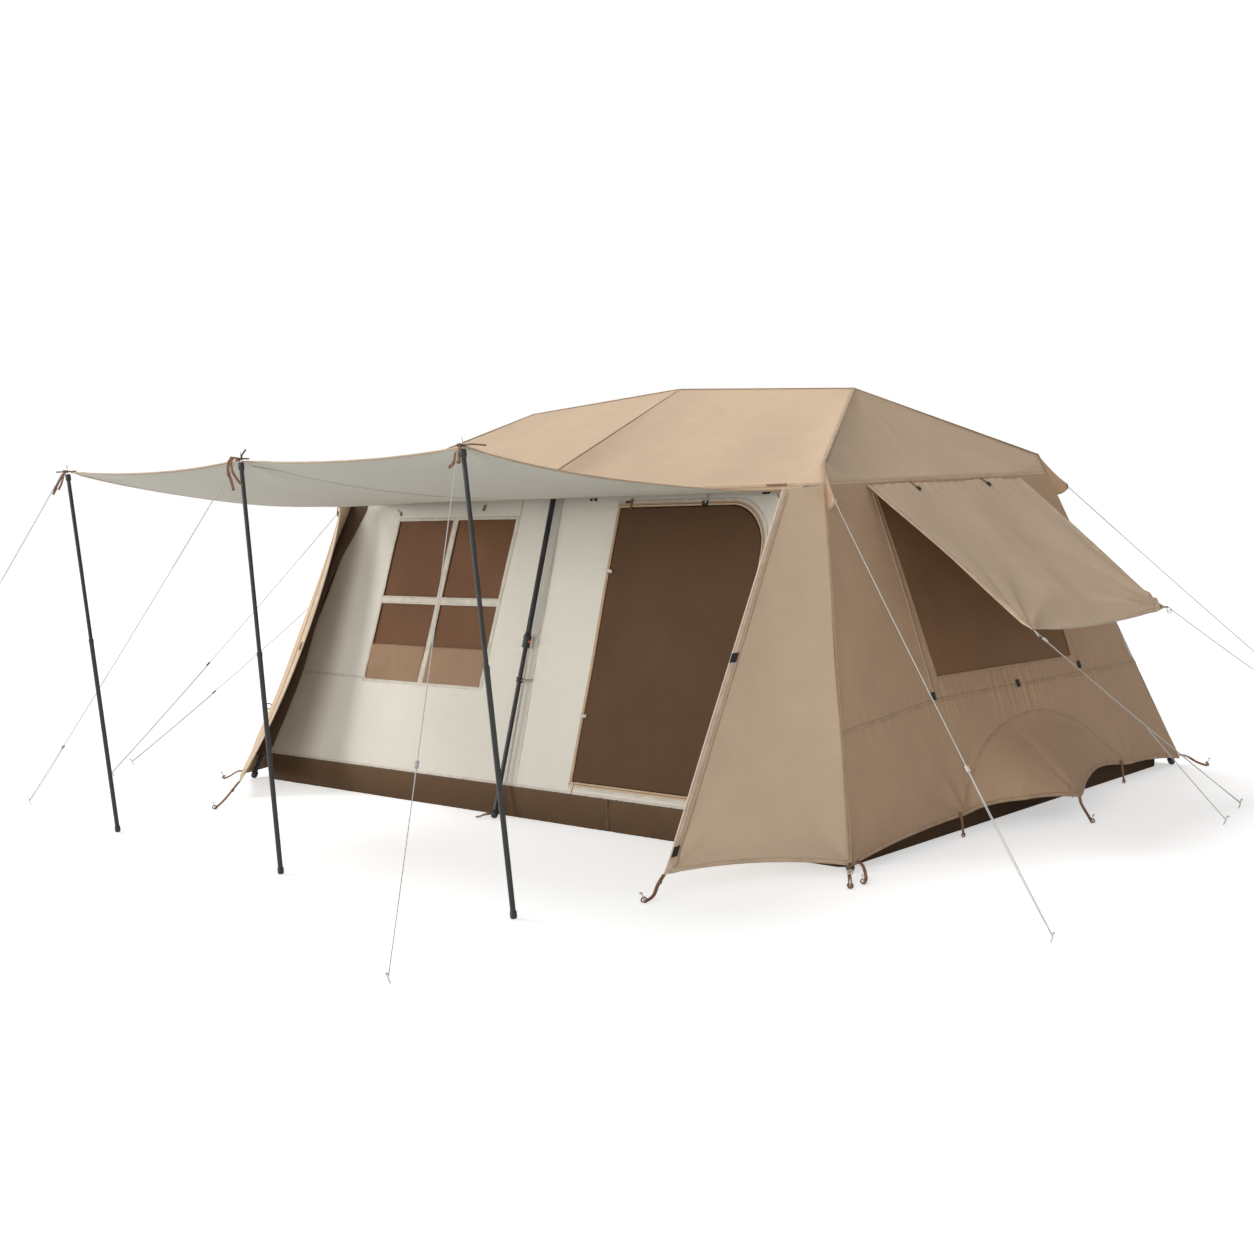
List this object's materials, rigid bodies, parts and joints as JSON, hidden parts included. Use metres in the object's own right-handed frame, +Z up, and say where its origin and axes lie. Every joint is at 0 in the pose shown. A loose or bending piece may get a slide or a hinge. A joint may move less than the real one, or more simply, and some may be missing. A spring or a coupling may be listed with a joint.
{
  "type": "cabin tent",
  "caption": "Framed cabin tent with telescoping legs, tub floor, cloth door and window, flared front wings, propped end flaps and a porch canopy on poles.",
  "frame": {"origin": "middle of the groundsheet's underside, on the ground", "axes": "+X to the right of somebody who faces the front wall, along the tent's long side; the front and its porch face -Y; +Z up"},
  "size_m": [6.5763, 6.4979, 2.142],
  "materials": {
    "fly_cloth": "matt coated polyester, tan",
    "wall_cloth": "matt cotton-look cloth, cream",
    "canopy_cloth": "coated underside, pale grey green; tan on top",
    "brown_mesh": "fine knitted insect mesh, brown",
    "tub_cloth": "coated floor cloth, dark brown",
    "tan_binding": "folded binding tape and piping, tan",
    "cream_binding": "folded binding tape, cream",
    "leather_strap": "vegetable tanned leather strap, brown",
    "pole_metal": "satin black powder coat",
    "black_plastic": "moulded nylon, black",
    "pale_plastic": "moulded, off-white",
    "button_plastic": "moulded, orange red",
    "guy_cord": "braided cord, pale grey",
    "peg_metal": "plated steel peg"
  },
  "bodies": {
    "tent": {"roof_fly": "fly_cloth", "end_wall_right": "fly_cloth", "end_wall_left": "fly_cloth", "wing_right": "fly_cloth", "wing_left": "fly_cloth", "back_wall": "fly_cloth", "front_wall": "wall_cloth", "porch_canopy": "canopy_cloth", "window_panes": "brown_mesh", "end_window_mesh_right": "brown_mesh", "end_window_mesh_left": "brown_mesh", "groundsheet": "tub_cloth", "hub_left": "black_plastic", "hub_right": "black_plastic", "ridge_joint": "black_plastic", "ridge_pole_left": "pole_metal", "ridge_pole_right": "pole_metal", "leg_upper_front_left": "pole_metal", "roof_pole_front_left": "pole_metal", "leg_upper_back_left": "pole_metal", "roof_pole_back_left": "pole_metal", "leg_upper_front_right": "pole_metal", "roof_pole_front_right": "pole_metal", "leg_upper_back_right": "pole_metal", "roof_pole_back_right": "pole_metal", "leg_upper_front_middle": "pole_metal", "roof_pole_front_middle": "pole_metal", "leg_upper_back_middle": "pole_metal", "roof_pole_back_middle": "pole_metal", "canopy_pole_upper_left": "pole_metal", "canopy_pole_upper_middle": "pole_metal", "canopy_pole_upper_right": "pole_metal", "guy_front_right": "guy_cord", "guy_front_left": "guy_cord", "guy_back_right": "guy_cord", "guy_pole_left": "guy_cord", "guy_pole_middle": "guy_cord", "guy_pole_right": "guy_cord", "guy_flap_right_front": "guy_cord", "guy_flap_right_back": "guy_cord", "guy_flap_left_front": "guy_cord", "guy_flap_right_tail": "guy_cord"},
    "leg_front_left": {"leg_lower_front_left": "pole_metal"},
    "leg_back_left": {"leg_lower_back_left": "pole_metal"},
    "leg_front_right": {"leg_lower_front_right": "pole_metal"},
    "leg_back_right": {"leg_lower_back_right": "pole_metal"},
    "leg_front_middle": {"leg_lower_front_middle": "pole_metal"},
    "leg_back_middle": {"leg_lower_back_middle": "pole_metal"},
    "button_front_left": {"lock_button_front_left": "button_plastic"},
    "button_back_left": {"lock_button_back_left": "button_plastic"},
    "button_front_right": {"lock_button_front_right": "button_plastic"},
    "button_back_right": {"lock_button_back_right": "button_plastic"},
    "button_front_middle": {"lock_button_front_middle": "button_plastic"},
    "button_back_middle": {"lock_button_back_middle": "button_plastic"},
    "pole_left": {"canopy_pole_lower_left": "pole_metal"},
    "pole_middle": {"canopy_pole_lower_middle": "pole_metal"},
    "pole_right": {"canopy_pole_lower_right": "pole_metal"},
    "flap_right": {"window_flap_right": "fly_cloth"},
    "flap_left": {"window_flap_left": "fly_cloth"},
    "door": {"door_panel": "brown_mesh"}
  },
  "joints": [
    {"name": "leg_front_left_slide", "type": "slide", "parent": "tent", "child": "leg_front_left", "axis": [0.272, 0.3092, 0.9113], "range_m": [0, 0.62]},
    {"name": "leg_back_left_slide", "type": "slide", "parent": "tent", "child": "leg_back_left", "axis": [0.272, -0.3092, 0.9113], "range_m": [0, 0.62]},
    {"name": "leg_front_right_slide", "type": "slide", "parent": "tent", "child": "leg_front_right", "axis": [-0.272, 0.3092, 0.9113], "range_m": [0, 0.62]},
    {"name": "leg_back_right_slide", "type": "slide", "parent": "tent", "child": "leg_back_right", "axis": [-0.272, -0.3092, 0.9113], "range_m": [0, 0.62]},
    {"name": "leg_front_middle_slide", "type": "slide", "parent": "tent", "child": "leg_front_middle", "axis": [0, 0.3113, 0.9503], "range_m": [0, 0.62]},
    {"name": "leg_back_middle_slide", "type": "slide", "parent": "tent", "child": "leg_back_middle", "axis": [0, -0.3113, 0.9503], "range_m": [0, 0.62]},
    {"name": "lock_button_front_left_press", "type": "slide", "parent": "tent", "child": "button_front_left", "axis": [0.7508, -0.6605, 0], "range_m": [0, 0.003], "stiffness_N_per_m": 300},
    {"name": "lock_button_back_left_press", "type": "slide", "parent": "tent", "child": "button_back_left", "axis": [-0.7508, -0.6605, 0], "range_m": [0, 0.003], "stiffness_N_per_m": 300},
    {"name": "lock_button_front_right_press", "type": "slide", "parent": "tent", "child": "button_front_right", "axis": [0.7508, 0.6605, 0], "range_m": [0, 0.003], "stiffness_N_per_m": 300},
    {"name": "lock_button_back_right_press", "type": "slide", "parent": "tent", "child": "button_back_right", "axis": [-0.7508, 0.6605, 0], "range_m": [0, 0.003], "stiffness_N_per_m": 300},
    {"name": "lock_button_front_middle_press", "type": "slide", "parent": "tent", "child": "button_front_middle", "axis": [1, 0, 0], "range_m": [0, 0.003], "stiffness_N_per_m": 300},
    {"name": "lock_button_back_middle_press", "type": "slide", "parent": "tent", "child": "button_back_middle", "axis": [-1, 0, 0], "range_m": [0, 0.003], "stiffness_N_per_m": 300},
    {"name": "canopy_pole_left_slide", "type": "slide", "parent": "tent", "child": "pole_left", "axis": [-0.0233, -0.0644, 0.9976], "range_m": [0, 0.5]},
    {"name": "canopy_pole_middle_slide", "type": "slide", "parent": "tent", "child": "pole_middle", "axis": [-0.0089, -0.0378, 0.9992], "range_m": [0, 0.5]},
    {"name": "canopy_pole_right_slide", "type": "slide", "parent": "tent", "child": "pole_right", "axis": [-0.0256, -0.0567, 0.9981], "range_m": [0, 0.5]},
    {"name": "window_flap_right_hinge", "type": "hinge", "parent": "tent", "child": "flap_right", "pos_m": [1.7143, 0, 1.585], "axis": [0, 1, 0], "range_deg": [-15, 30]},
    {"name": "window_flap_left_hinge", "type": "hinge", "parent": "tent", "child": "flap_left", "pos_m": [-1.7143, 0, 1.585], "axis": [0, -1, 0], "range_deg": [-15, 30]},
    {"name": "door_swing", "type": "hinge", "parent": "tent", "child": "door", "pos_m": [0.453, -1.2085, 0.86], "axis": [0, 0.3074, 0.9516], "range_deg": [0, 55]}
  ]
}
